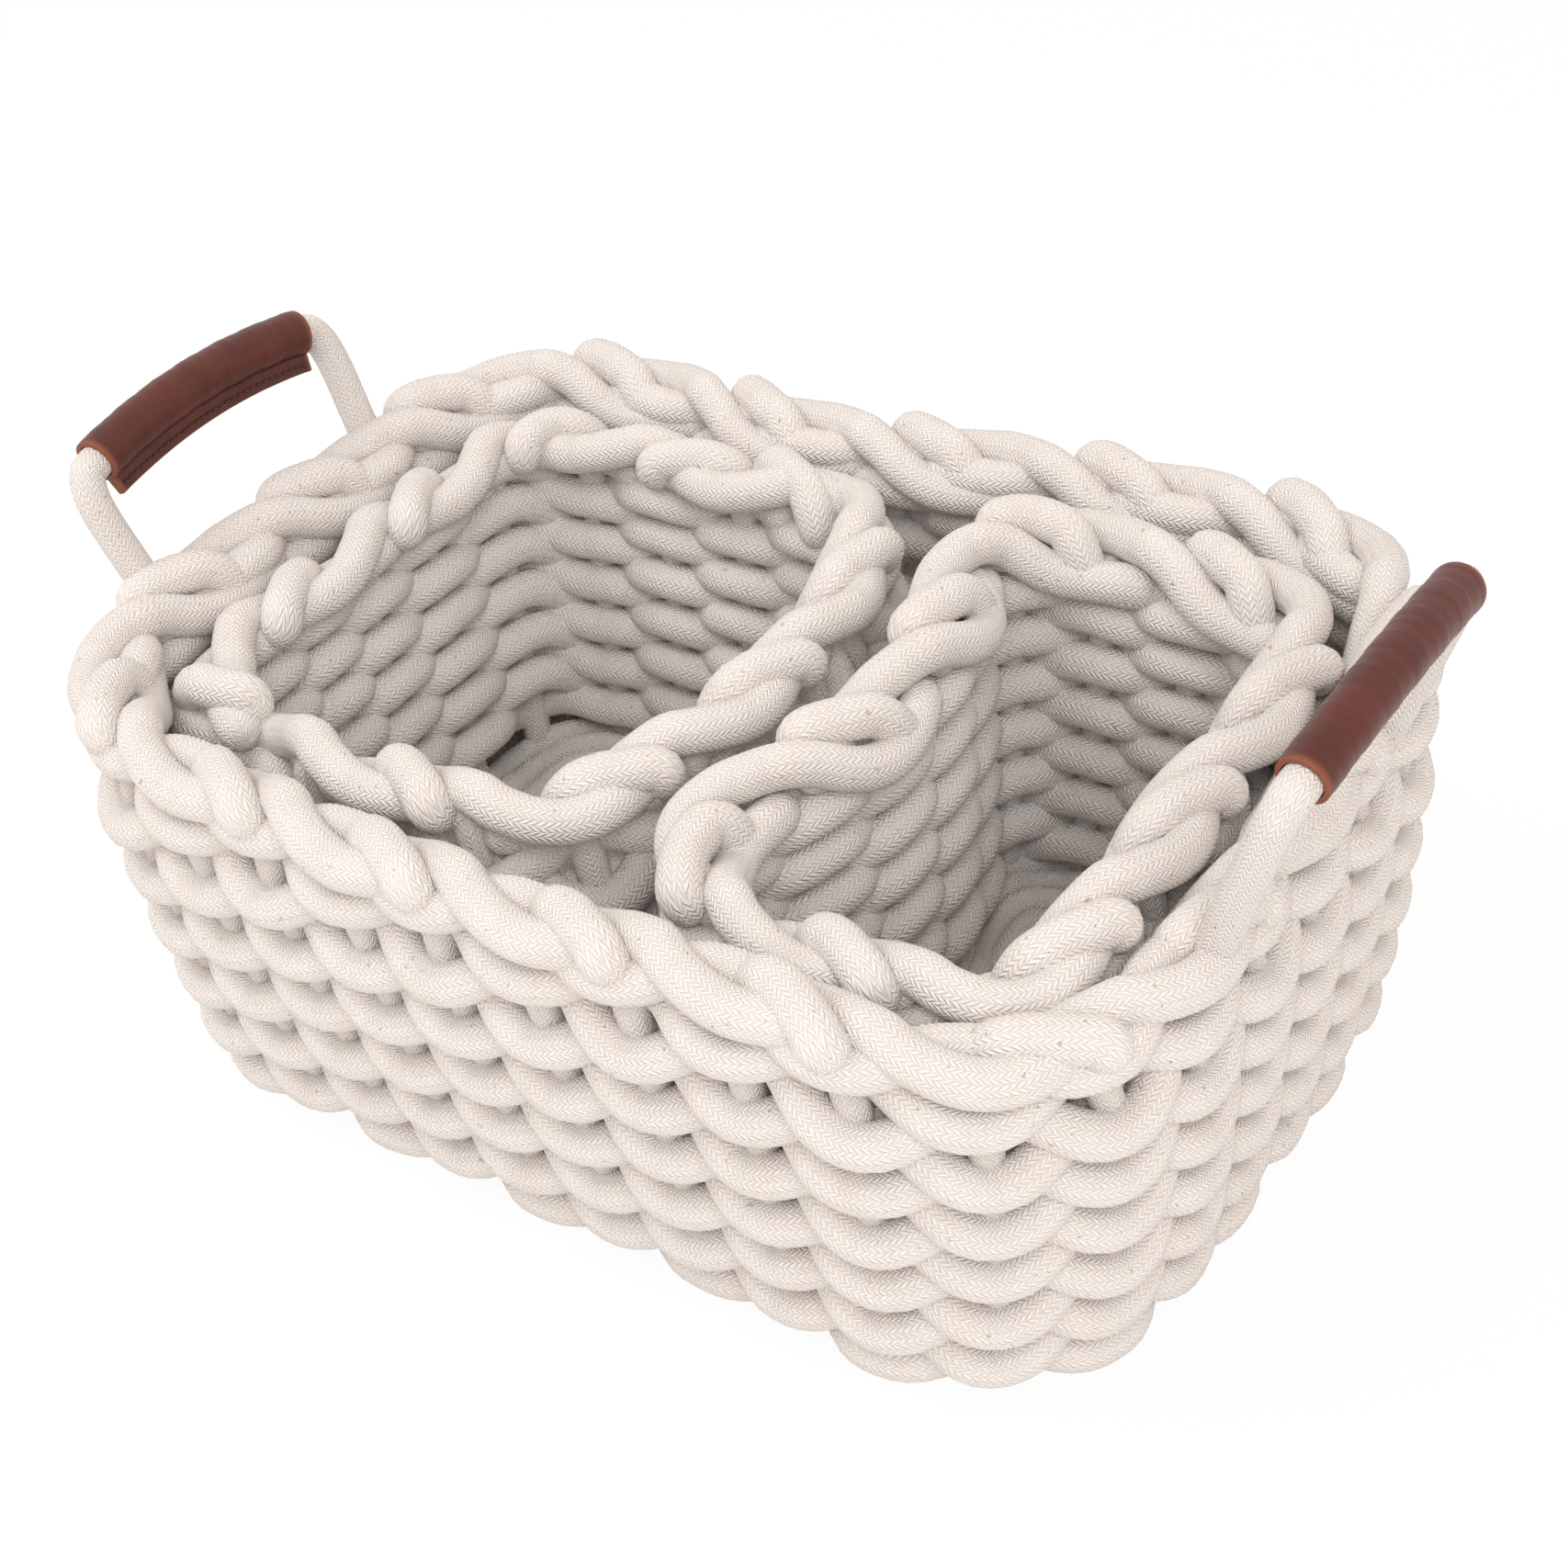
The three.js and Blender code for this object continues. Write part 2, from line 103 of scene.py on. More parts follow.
# One socket, so that node maths reads as an expression
class Value:
    def __init__(self, net, socket):
        self.net = net
        self.socket = socket

    def maths(self, operation, *others):
        inputs = dict(enumerate([self, *others]))
        return self.net.value("ShaderNodeMath", {"operation": operation}, inputs)

    def flipped(self, operation, other):
        return self.net.value("ShaderNodeMath", {"operation": operation}, {0: other, 1: self})

    def __add__(self, other):
        return self.maths("ADD", other)

    def __sub__(self, other):
        return self.maths("SUBTRACT", other)

    def __mul__(self, other):
        return self.maths("MULTIPLY", other)

    def __truediv__(self, other):
        return self.maths("DIVIDE", other)

    def __radd__(self, other):
        return self.flipped("ADD", other)

    def __rsub__(self, other):
        return self.flipped("SUBTRACT", other)

    def __rmul__(self, other):
        return self.flipped("MULTIPLY", other)

    def clamped(self):
        return self.maths("MAXIMUM", 0.0).maths("MINIMUM", 1.0)


# Finishes
def newMaterial(name):
    material = bpy.data.materials.new(name)
    material.use_nodes = True
    material.node_tree.nodes.clear()
    return material, Net(material.node_tree)


def finishMaterial(net, surface):
    output = net.add("ShaderNodeOutputMaterial")
    net.tree.links.new(surface.socket, output.inputs["Surface"])


def noise(net, place, scale, detail):
    return net.value("ShaderNodeTexNoise", None, {
        "Vector": place,
        "Scale": scale,
        "Detail": detail,
    })


# From one colour to another, each given as three numbers or as a socket
def blended(net, share, *colours):
    first, second = (
        (*colour, 1) if isinstance(colour, tuple) else colour for colour in colours
    )
    inputs = {0: share, 6: first, 7: second}
    return net.value("ShaderNodeMix", {"data_type": "RGBA"}, inputs, 2)


cottonFinish = {
    "lit": (0.87, 0.835, 0.805),
    # painted shade: the darker, warmer colour of the hollows between the strands, where shade
    # falls
    "hollowShade": (0.62, 0.43, 0.32),
    "speck": (0.36, 0.26, 0.18),
    "vees": 13,  # round the cord
    "ridges": 5.6,  # in 10 mm of cord
    "veeDepth": 0.95,  # in ridges
    "wander": 0.5,  # in ridges
    "seamDepth": 0.55,  # of a strand, where two vees meet
    "strandShade": 0.34,  # painted shade: how much of the hollow colour lies between the strands
    "patchShade": 0.3,  # from wide soft patches
    "fuzzShade": 0.5,  # from loose fibres
    "speckFrom": 0.735,  # only the noise's peaks above this are specks
    "speckGain": 30,
    "speckStrength": 0.55,
    "strandHeight": 0.8,  # in bump distances
    "fuzzHeight": 0.35,
    "bumpStrength": 0.8,
    "bumpDistance": 0.00095,
}


def makeCotton(values):
    material, net = newMaterial("braided cotton")
    uv = net.value("ShaderNodeUVMap", {"uv_map": "UVMap"})
    parts = net.add("ShaderNodeSeparateXYZ", None, {0: uv})
    along = Value(net, parts.outputs["X"])
    around = Value(net, parts.outputs["Y"])
    place = net.value("ShaderNodeTexCoord", None, None, "Object")
    wander = noise(net, place, 160.0, 2.0) * values["wander"]
    # Each vee is a triangle wave round the cord, and the ridges follow it
    vee = (around * values["vees"]).maths("PINGPONG", 0.5) * 2
    phase = (along * values["ridges"] + vee * values["veeDepth"] + wander) * math.tau
    ridge = phase.maths("SINE") * 0.5 + 0.5
    column = (vee * 2 - 1).maths("ABSOLUTE")
    seam = column.maths("POWER", 6.0)
    strand = ridge.maths("POWER", 0.7) * (1 - seam * values["seamDepth"])
    fuzz = noise(net, place, 2600.0, 3.0)
    patch = noise(net, place, 55.0, 3.0)
    peaks = noise(net, place, 420.0, 1.0) - values["speckFrom"]
    speck = (peaks * values["speckGain"]).clamped()
    # Painted shade between the strands, with random darker patches and loose fibres, blends
    # the lit colour toward the hollow shade colour
    shade = (
        (1 - strand) * values["strandShade"]
        + (patch - 0.5) * values["patchShade"]
        + (fuzz - 0.5) * values["fuzzShade"]
    ).clamped()
    base = blended(net, shade, values["lit"], values["hollowShade"])
    specked = blended(net, speck * values["speckStrength"], base, values["speck"])
    bump = net.value("ShaderNodeBump", None, {
        "Strength": values["bumpStrength"],
        "Distance": values["bumpDistance"],
        "Height": strand * values["strandHeight"] + fuzz * values["fuzzHeight"],
    })
    surface = net.value("ShaderNodeBsdfPrincipled", None, {
        "Base Color": specked,
        "Roughness": 0.9,
        "Specular IOR Level": 0.2,
        "Sheen Weight": 0.25,
        "Sheen Roughness": 0.6,
        "Normal": bump,
    })
    finishMaterial(net, surface)
    return material


leatherFinish = {
    "main": (0.095, 0.019, 0.011),
    "dark": (0.055, 0.010, 0.006),
    "edge": (0.27, 0.09, 0.05),
    "cloudFrom": 0.42,  # the noise above this is darker
    "cloudGain": 2.4,
    "roughness": 0.3,
    "poreRoughness": 0.22,  # more at the pores
    "edgeRoughness": 0.35,  # more at the cut edges
    "bumpStrength": 0.35,
    "bumpDistance": 0.00018,
}


def makeLeather(values):
    material, net = newMaterial("brown leather")
    place = net.value("ShaderNodeTexCoord", None, None, "Object")
    cloud = noise(net, place, 60.0, 4.0)
    grain = net.value("ShaderNodeTexVoronoi", None, {"Vector": place, "Scale": 1500.0})
    pores = noise(net, place, 900.0, 4.0)
    raw = net.value("ShaderNodeAttribute", {"attribute_name": "rawEdge"}, None, "Fac")
    clouded = (cloud - values["cloudFrom"]) * values["cloudGain"] + (pores - 0.5) * 0.5
    base = blended(net, clouded.clamped(), values["main"], values["dark"])
    worn = raw.clamped() * (0.55 + pores * 0.6).clamped()
    edged = blended(net, worn, base, values["edge"])
    roughness = values["roughness"] + pores * values["poreRoughness"]
    bump = net.value("ShaderNodeBump", None, {
        "Strength": values["bumpStrength"],
        "Distance": values["bumpDistance"],
        "Height": grain * 0.7 + pores * 0.6,
    })
    surface = net.value("ShaderNodeBsdfPrincipled", None, {
        "Base Color": edged,
        "Roughness": (roughness + raw * values["edgeRoughness"]).clamped(),
        "Specular IOR Level": 0.35,
        "Normal": bump,
    })
    finishMaterial(net, surface)
    return material


threadFinish = {
    "dark": (0.03, 0.008, 0.006),
    "light": (0.09, 0.024, 0.016),
    "bumpStrength": 0.5,
    "bumpDistance": 0.0001,
}


def makeThread(values):
    material, net = newMaterial("brown thread")
    place = net.value("ShaderNodeTexCoord", None, None, "Object")
    twist = noise(net, place, 3500.0, 2.0)
    bump = net.value("ShaderNodeBump", None, {
        "Strength": values["bumpStrength"],
        "Distance": values["bumpDistance"],
        "Height": twist,
    })
    surface = net.value("ShaderNodeBsdfPrincipled", None, {
        "Base Color": blended(net, twist, values["dark"], values["light"]),
        "Roughness": 0.6,
        "Normal": bump,
    })
    finishMaterial(net, surface)
    return material


cotton = makeCotton(cottonFinish)
leather = makeLeather(leatherFinish)
thread = makeThread(threadFinish)
print("finishes made")


# Geometry Nodes trees
def newTree(name, sockets):
    tree = bpy.data.node_groups.new(name, "GeometryNodeTree")
    ports = [("OUTPUT", "Geometry", "Geometry"), *[("INPUT", *socket) for socket in sockets]]
    for way, title, kind in ports:
        tree.interface.new_socket(name=title, in_out=way, socket_type="NodeSocket" + kind)
    net = Net(tree)
    source = net.add("NodeGroupInput")
    return net, {socket.name: Value(net, socket) for socket in source.outputs if socket.name}


def endTree(net, geometry, material=None):
    if material is not None:
        geometry = net.value("GeometryNodeRealizeInstances", None, {0: geometry})
        geometry = net.value("GeometryNodeSetMaterial", None, {
            "Geometry": geometry,
            "Material": material,
        })
    output = net.add("NodeGroupOutput")
    net.tree.links.new(geometry.socket, output.inputs[0])


def attribute(net, name, kind="FLOAT"):
    return net.value("GeometryNodeInputNamedAttribute", {"data_type": kind}, {"Name": name})


def store(net, geometry, name, kind, domain, value):
    settings = {"data_type": kind, "domain": domain}
    return net.value("GeometryNodeStoreNamedAttribute", settings, {
        "Geometry": geometry,
        "Name": name,
        "Value": value,
    })


def vectorMaths(net, operation, first, second):
    return net.value("ShaderNodeVectorMath", {"operation": operation}, {0: first, 1: second})


def scaled(net, vector, by):
    return net.value("ShaderNodeVectorMath", {"operation": "SCALE"}, {0: vector, "Scale": by})


mapSteps = 100  # in a metre of cord
joinDistance = 0.00006  # in metres


# A round cord along every line, joined where a line comes back to its start, and narrowed by
# the line's own thin values. Its map counts steps along it and goes once round it
def makeCordTree():
    net, source = newTree("cord along a line", [
        ("Line", "Geometry"),
        ("Radius", "Float"),
        ("Sides", "Int"),
    ])
    length = net.value("GeometryNodeSplineParameter", None, None, "Length")
    line = store(net, source["Line"], "along", "FLOAT", "POINT", length * mapSteps)
    section = net.value("GeometryNodeCurveArc", {"mode": "RADIUS"}, {
        "Resolution": source["Sides"] + 1,
        "Radius": source["Radius"],
        "Start Angle": 0.0,
        "Sweep Angle": math.tau,
    })
    factor = net.value("GeometryNodeSplineParameter", None, None, "Factor")
    section = store(net, section, "around", "FLOAT", "POINT", factor)
    skin = net.value("GeometryNodeCurveToMesh", None, {
        "Curve": line,
        "Profile Curve": section,
        "Scale": 1 - attribute(net, "thin"),
    })
    spot = net.value("ShaderNodeCombineXYZ", None, {
        0: attribute(net, "along"),
        1: attribute(net, "around"),
    })
    skin = store(net, skin, "UVMap", "FLOAT2", "CORNER", spot)
    skin = net.value("GeometryNodeMergeByDistance", None, {
        "Geometry": skin,
        "Distance": joinDistance,
    })
    skin = net.value("GeometryNodeSetShadeSmooth", None, {"Geometry": skin})
    endTree(net, skin)
    return net.tree


cordTree = makeCordTree()


# What every tree of cords ends with: its inputs, its shake and its skin
cordSockets = [
    ("Shake", "Float"),
    ("Seed", "Float"),
    ("Radius", "Float"),
    ("Sides", "Int"),
    ("Material", "Material"),
]
shakeScale = 32.0  # about one swell in 30 mm


def shaken(net, source, line):
    noisy = net.value("ShaderNodeTexNoise", {"noise_dimensions": "4D"}, {
        "Vector": net.value("GeometryNodeInputPosition"),
        "W": source["Seed"],
        "Scale": shakeScale,
        "Detail": 0.0,
    }, "Color")
    centred = vectorMaths(net, "SUBTRACT", noisy, (0.5, 0.5, 0.5))
    return net.value("GeometryNodeSetPosition", None, {
        "Geometry": line,
        "Offset": scaled(net, centred, source["Shake"]),
    })


def endCordTree(net, source, line):
    cord = net.value("GeometryNodeGroup", {"node_tree": cordTree}, {
        "Line": line,
        "Radius": source["Radius"],
        "Sides": source["Sides"],
    })
    endTree(net, cord, source["Material"])
    return net.tree


def combined(net, first, firstBy, second, secondBy):
    return vectorMaths(net, "ADD", scaled(net, first, firstBy), scaled(net, second, secondBy))


# A cord that goes in front of one stake and behind the next, all the way round
def makeWeaverTree():
    net, source = newTree("weaver round the stakes", [
        ("Path", "Geometry"),
        ("Swing", "Float"),
        ("Tilt", "Float"),
        ("Sag", "Float"),
        *cordSockets,
    ])
    line = net.value("GeometryNodeMeshToCurve", None, {"Mesh": source["Path"]})
    wave = attribute(net, "turn").maths("COSINE")
    # Fuller in its bends than a plain wave
    out = wave * (1.35 - wave * wave * 0.35) * source["Swing"]
    rise = wave * source["Tilt"] + wave * wave * source["Sag"]
    outward = attribute(net, "outward", "FLOAT_VECTOR")
    upward = attribute(net, "upward", "FLOAT_VECTOR")
    line = net.value("GeometryNodeSetPosition", None, {
        "Geometry": line,
        "Offset": combined(net, outward, out, upward, 0 - rise),
    })
    line = shaken(net, source, line)
    line = net.value("GeometryNodeSetCurveNormal", {"mode": "Z_UP"}, {"Curve": line})
    return endCordTree(net, source, line)


# Cords along plain lines, such as stakes and handle cords
def makeStakeTree():
    net, source = newTree("cords along lines", [
        ("Lines", "Geometry"),
        *cordSockets,
    ])
    line = net.value("GeometryNodeMeshToCurve", None, {"Mesh": source["Lines"]})
    line = shaken(net, source, line)
    return endCordTree(net, source, line)


# The border: one link's cords, repeated and wrapped round the rim
def makeBorderTree():
    net, source = newTree("border links round the rim", [
        ("Path", "Geometry"),
        ("Link", "Object"),
        ("Links", "Int"),
        ("Start", "Float"),
        ("Turned From", "Int"),
        ("Turned Shift", "Float"),
        *cordSockets,
    ])
    path = net.value("GeometryNodeMeshToCurve", None, {"Mesh": source["Path"]})
    link = net.value("GeometryNodeObjectInfo", None, {"Object": source["Link"]}, "Geometry")
    spots = net.value("GeometryNodeMeshLine", {"mode": "OFFSET"}, {
        "Count": source["Links"],
        "Start Location": (0, 0, 0),
        "Offset": (1, 0, 0),
    })
    # The links from one number on are turned inside out
    number = net.value("GeometryNodeInputIndex")
    isTurned = 1 - number.maths("LESS_THAN", source["Turned From"])
    spots = store(net, spots, "turned", "FLOAT", "POINT", isTurned)
    chain = net.value("GeometryNodeInstanceOnPoints", None, {
        "Points": spots,
        "Instance": link,
    })
    chain = net.value("GeometryNodeRealizeInstances", None, {0: chain})
    place = net.value("GeometryNodeInputPosition")
    parts = net.add("ShaderNodeSeparateXYZ", None, {0: place})
    turned = attribute(net, "turned")
    along = Value(net, parts.outputs[0]) + source["Start"] + turned * source["Turned Shift"]
    factor = (along / source["Links"]).maths("FRACT")

    # The place at each share of the path, or one of the path's directions there
    def sampled(name=None):
        settings = {"mode": "FACTOR", "data_type": "FLOAT_VECTOR"}
        node = net.add("GeometryNodeSampleCurve", settings, {
            "Curves": path,
            "Value": attribute(net, name, "FLOAT_VECTOR") if name else None,
            "Factor": factor,
        })
        return Value(net, node.outputs["Value" if name else "Position"])

    shift = combined(
        net,
        sampled("outward"), Value(net, parts.outputs[1]) * (1 - turned * 2),
        sampled("upward"), Value(net, parts.outputs[2]),
    )
    chain = net.value("GeometryNodeSetPosition", None, {
        "Geometry": chain,
        "Position": vectorMaths(net, "ADD", sampled(), shift),
    })
    line = net.value("GeometryNodeMeshToCurve", None, {"Mesh": chain})
    line = shaken(net, source, line)
    return endCordTree(net, source, line)


weaverTree = makeWeaverTree()
stakeTree = makeStakeTree()
borderTree = makeBorderTree()


# The inputs that every tree of cords takes, with lengths in millimetres
def cordInputs(radius, sides, shake=0.0, seed=1.0, material=cotton):
    return {
        "Radius": radius * mm,
        "Sides": sides,
        "Shake": shake * mm,
        "Seed": seed,
        "Material": material,
    }


# Lines of points in millimetres. Each attribute holds a list for every line, with a value for
# each of its points
def lineObject(name, lines, attributes, scale=mm):
    points, edges = [], []
    for line in lines:
        edges += [(len(points) + i, len(points) + i + 1) for i in range(len(line) - 1)]
        points += [Vector(point) * scale for point in line]
    mesh = bpy.data.meshes.new(name)
    mesh.from_pydata(points, edges, [])
    for key, groups in attributes.items():
        values = [value for group in groups for value in group]
        isVector = isinstance(values[0], Vector)
        layer = mesh.attributes.new(key, "FLOAT_VECTOR" if isVector else "FLOAT", "POINT")
        if isVector:
            layer.data.foreach_set("vector", [part for value in values for part in value])
        else:
            layer.data.foreach_set("value", values)
    made = bpy.data.objects.new(name, mesh)
    collection.objects.link(made)
    return made


# Runs a tree on an object and returns the plain mesh
def grown(source, tree, values):
    modifier = source.modifiers.new("build", "NODES")
    modifier.node_group = tree
    for item in tree.interface.items_tree:
        if item.in_out == "INPUT" and item.name in values:
            modifier[item.identifier] = values[item.name]
    depsgraph = bpy.context.evaluated_depsgraph_get()
    mesh = bpy.data.meshes.new_from_object(
        source.evaluated_get(depsgraph), preserve_all_data_layers=True, depsgraph=depsgraph
    )
    for layer in ("along", "around", "thin", "turn", "turned", "outward", "upward"):
        if layer in mesh.attributes:
            mesh.attributes.remove(mesh.attributes[layer])
    bpy.data.objects.remove(source)
    return mesh


def addPiece(name, meshes, body, slot, *nodes):
    piece = bpy.data.objects.new(name, meshes[0])
    collection.objects.link(piece)
    if len(meshes) > 1:
        others = [bpy.data.objects.new(name + "_more", mesh) for mesh in meshes[1:]]
        for other in others:
            collection.objects.link(other)
        chosen = {"active_object": piece, "selected_editable_objects": [piece, *others]}
        with bpy.context.temp_override(**chosen):
            bpy.ops.object.join()
    piece.name = name
    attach(piece, body)
    if nodes:
        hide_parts(*nodes)


# The plans of the walls, in millimetres
plans = {
    "rimLength": 357.4,
    "rimWidth": 254.8,
    "rimCorner": 65,
    "floorLength": 321.5,
    "floorWidth": 216.2,
    "floorCorner": 50.6,
    "tightCorner": 5.5,
    "rimFrontBow": 7.7,
    "rimBackBow": -4.4,
    "rimBackSway": 7.6,
    "floorBow": -4.1,
    "endBow": 2.1,
    "rimShiftY": 1.2,
    "floorShiftX": -1.7,
    "floorShiftY": 3,
    "leanCurve": 0.56,
    "top": 146.1,
    "nest": 24.5,
    "innerCorner": 38,
    "innerFrontInset": 2,
    "leftBackInset": 14,
    "rightBackInset": 7,
    "leftMeetX": 7,
    "leftMeetBow": 12,
    "rightMeetX": 30,
    "rightMeetDent": 22,
    "meetTaper": 6,
}


def mix(a, b, share):
    return a + (b - a) * share


def leanShare(z):
    return min(max(z / plans["top"], 0), 1) ** plans["leanCurve"]


def largePlan(z):
    p = plans
    share = leanShare(z)
    halfX = mix(p["floorLength"], p["rimLength"], share) / 2
    halfY = mix(p["floorWidth"], p["rimWidth"], share) / 2
    middleX = mix(p["floorShiftX"], 0, share)
    middleY = mix(p["floorShiftY"], p["rimShiftY"], share)
    return {
        "left": middleX - halfX,
        "right": middleX + halfX,
        "front": middleY - halfY,
        "back": middleY + halfY,
        "corner": mix(p["floorCorner"], p["rimCorner"], share),
        "bowLeft": p["endBow"],
        "bowRight": p["endBow"],
        "bowFront": mix(p["floorBow"], p["rimFrontBow"], share),
        "bowBack": mix(p["floorBow"], p["rimBackBow"], share),
        "backSway": mix(0, p["rimBackSway"], share),
    }


def insetPlan(plan, depth):
    return {
        **plan,
        "left": plan["left"] + depth,
        "right": plan["right"] - depth,
        "front": plan["front"] + depth,
        "back": plan["back"] - depth,
        "corner": max(plan["corner"] - depth, plans["tightCorner"]),
    }


def innerPlan(z, isLeft):
    p = plans
    drawnIn = p["meetTaper"] * (1 - leanShare(z))
    around = insetPlan(largePlan(z), p["nest"])
    return {
        "left": around["left"] if isLeft else p["rightMeetX"] + drawnIn,
        "right": p["leftMeetX"] - drawnIn if isLeft else around["right"],
        "front": around["front"] + p["innerFrontInset"],
        "back": around["back"] - p["leftBackInset" if isLeft else "rightBackInset"],
        "corner": p["innerCorner"],
        "bowLeft": 0 if isLeft else -p["rightMeetDent"],
        "bowRight": p["leftMeetBow"] if isLeft else 0,
        "bowFront": 0,
        "bowBack": 0,
        "backSway": 0,
    }


# The point of a plan's outline at a share of the way round, from the front left corner's
# end, anticlockwise
def planPoint(plan, share):
    halfX = (plan["right"] - plan["left"]) / 2
    halfY = (plan["back"] - plan["front"]) / 2
    corner = min(plan["corner"], halfX, halfY)
    straight = (2 * (halfX - corner), 2 * (halfY - corner))
    rest = (share % 1) * (2 * sum(straight) + math.tau * corner)
    x, y = -straight[0] / 2, -halfY
    for side in range(4):
        heading = side * math.pi / 2
        run = min(rest, straight[side % 2])
        x += math.cos(heading) * run
        y += math.sin(heading) * run
        rest -= run
        turn = min(rest / corner, math.pi / 2)
        x += corner * (math.sin(heading + turn) - math.sin(heading))
        y += corner * (math.cos(heading) - math.cos(heading + turn))
        rest -= turn * corner
    u, v = x / halfX, y / halfY
    bowX = (plan["bowRight"] if u > 0 else -plan["bowLeft"]) * max(0, 1 - v * v) ** 2
    sway = plan["backSway"] * math.sin(math.pi * u) if v > 0 else 0
    bowY = (plan["bowBack"] if v > 0 else -plan["bowFront"]) * max(0, 1 - u * u) ** 2 + sway
    return (
        plan["left"] + halfX + x + bowX * u * u,
        plan["front"] + halfY + y + bowY * v * v,
    )


# Where a wall is at a height and a share of the way round, with its outward direction and
# the direction up its slope
def wallPoint(planAt, z, share):
    aside, above = 0.001, 8  # how far off the neighbours are looked up
    plan = planAt(z)
    x, y = planPoint(plan, share)
    x1, y1 = planPoint(plan, share - aside)
    x2, y2 = planPoint(plan, share + aside)
    outward = Vector((y2 - y1, x1 - x2, 0)).normalized()
    x3, y3 = planPoint(planAt(z - above), share)
    x4, y4 = planPoint(planAt(z + above), share)
    upward = Vector((x4 - x3, y4 - y3, 2 * above)).normalized()
    return Vector((x, y, z)), outward, upward


weave = {
    "cordRadius": 6.7,
    "sides": 12,
    "swing": 5.4,
    "tilt": 4.8,
    "sag": 1.2,
    "shake": 2.2,
    "stepsPerStake": 9,
    "stakeRadius": 5,
    "stakeSides": 10,
    "markHeight": 100,  # where the baskets' marks are read
    "seamStep": 0.03,  # of a step, so that both ends of a row meet square
    "drawnFrom": 115,  # above this height the wall is drawn in
    "drawnTo": 144,
    "drawnIn": 6,
    "dipFade": 1.5,  # how fast a dip of the rim dies out down the wall
    "wallGap": 0.3,
    "baseSlope": 0.15,  # how much the rows beside the floor and rim follow the wall's slope
    "rimSlope": 0.5,
    "stakeSteps": 7,
    "stakeFoot": 9,  # above the basket's lowest point
    "stakeHead": 13,  # below its top
}


# Stakes are numbered along the way round; each basket's marks pair a share with a number.
# Its dips are how far the rim hangs down at a share, its climbs how far the rows rise there.
# The border starts at firstLink, in links, and its links from turnedFrom on are turned inside
# out
baskets = [
    {
        "name": "large_basket",
        "planAt": largePlan,
        "low": 0,
        "floorThickness": 12,
        "floorLift": 0.9,
        "floorSwing": 1.3,
        "baseRow": True,
        "rounds": 5,
        "roundHeight": 21.6,
        "rimHeight": 25.8,
        "rimRows": 2,
        "stakes": 34,
        "marks": [(0, -0.265), (1, 33.735)],
        "stakeLean": 0.0028,
        "dips": [(0, 0), (0.19, 0), (0.245, 10), (0.33, 10), (0.42, 0), (1, 0)],
        "climbs": [(0, 0), (1, 0)],
        "links": 17,
        "firstLink": 0.7075,
        "turnedFrom": 17,
        "seed": 3.0,
    },
    {
        "name": "left_inner_basket",
        "planAt": lambda z: innerPlan(z, True),
        "low": 12.3,
        "floorThickness": 11,
        "floorLift": 2,
        "floorSwing": 2.2,
        "baseRow": False,
        "rounds": 6,
        "roundHeight": 17,
        "rimHeight": 21,
        "rimRows": 0,
        "stakes": 20,
        "marks": [
            (0.045, -1), (0.145, 1), (0.245, 3), (0.345, 5), (0.43, 7), (0.51, 8.3),
            (0.598, 10), (0.65, 11), (0.708, 12), (0.765, 13), (0.815, 14), (0.854, 15),
            (0.89, 16), (1.045, 19),
        ],
        "stakeLean": 0,
        "dips": [(0, 7), (0.16, 6), (0.3, 4.5), (0.5, 5), (1, 7)],
        "climbs": [(0, 0), (0.65, 0.5), (0.7, 11), (0.94, 11), (1, 0)],
        "links": 10,
        "firstLink": 0.45,
        "turnedFrom": 5,
        "seed": 11.0,
    },
    {
        "name": "right_inner_basket",
        "planAt": lambda z: innerPlan(z, False),
        "low": 12.3,
        "floorThickness": 11,
        "floorLift": 2,
        "floorSwing": 2.2,
        "baseRow": False,
        "rounds": 6,
        "roundHeight": 17,
        "rimHeight": 21,
        "rimRows": 1,
        "stakes": 18,
        "marks": [(0, 0.61), (1, 18.61)],
        "stakeLean": 0,
        "dips": [
            (0, 11), (0.12, 11), (0.2, 6), (0.4, 4), (0.5, 0), (0.75, -3), (0.9, 2), (1, 11),
        ],
        "climbs": [(0, 0), (1, 0)],
        "links": 9,
        "firstLink": 0.82,
        "turnedFrom": 9,
        "seed": 23.0,
    },
]


# The two marks that a value lies between
def neighbours(marks, value, given):
    for before, after in zip(marks, marks[1:]):
        if value <= after[given]:
            break
    return before, after


# From a share to a number or back, counting on past a whole turn
def followed(basket, value, given, wanted):
    marks = basket["marks"]
    lap = (1, basket["stakes"])
    laps = math.floor((value - marks[0][given]) / lap[given])
    rest = value - laps * lap[given]
    before, after = neighbours(marks, rest, given)
    share = (rest - before[given]) / (after[given] - before[given])
    return mix(before[wanted], after[wanted], share) + laps * lap[wanted]


def stakeNumber(basket, share, z):
    return followed(basket, share, 0, 1) + basket["stakeLean"] * (z - weave["markHeight"])


def stakeShare(basket, number, z):
    upright = number - basket["stakeLean"] * (z - weave["markHeight"])
    return followed(basket, upright, 1, 0)


def basketPlan(basket, z):
    drawn = (z - weave["drawnFrom"]) / (weave["drawnTo"] - weave["drawnFrom"])
    return insetPlan(basket["planAt"](z), weave["drawnIn"] * min(max(drawn, 0), 1))


def eased(marks, share):
    before, after = neighbours(marks, share, 0)
    t = min(max((share - before[0]) / (after[0] - before[0]), 0), 1)
    return mix(before[1], after[1], t * t * (3 - 2 * t))


# A point of the woven wall, where the rim hangs down and takes the rows under it along
def wovenPoint(basket, z, share, isRow):
    place, outward, upward = wallPoint(lambda at: basketPlan(basket, at), z, share)
    reach = min(z / weave["drawnTo"], 1) ** weave["dipFade"]
    place.z -= eased(basket["dips"], share % 1) * reach
    if isRow:
        place.z += eased(basket["climbs"], share % 1)
    return place, outward, upward


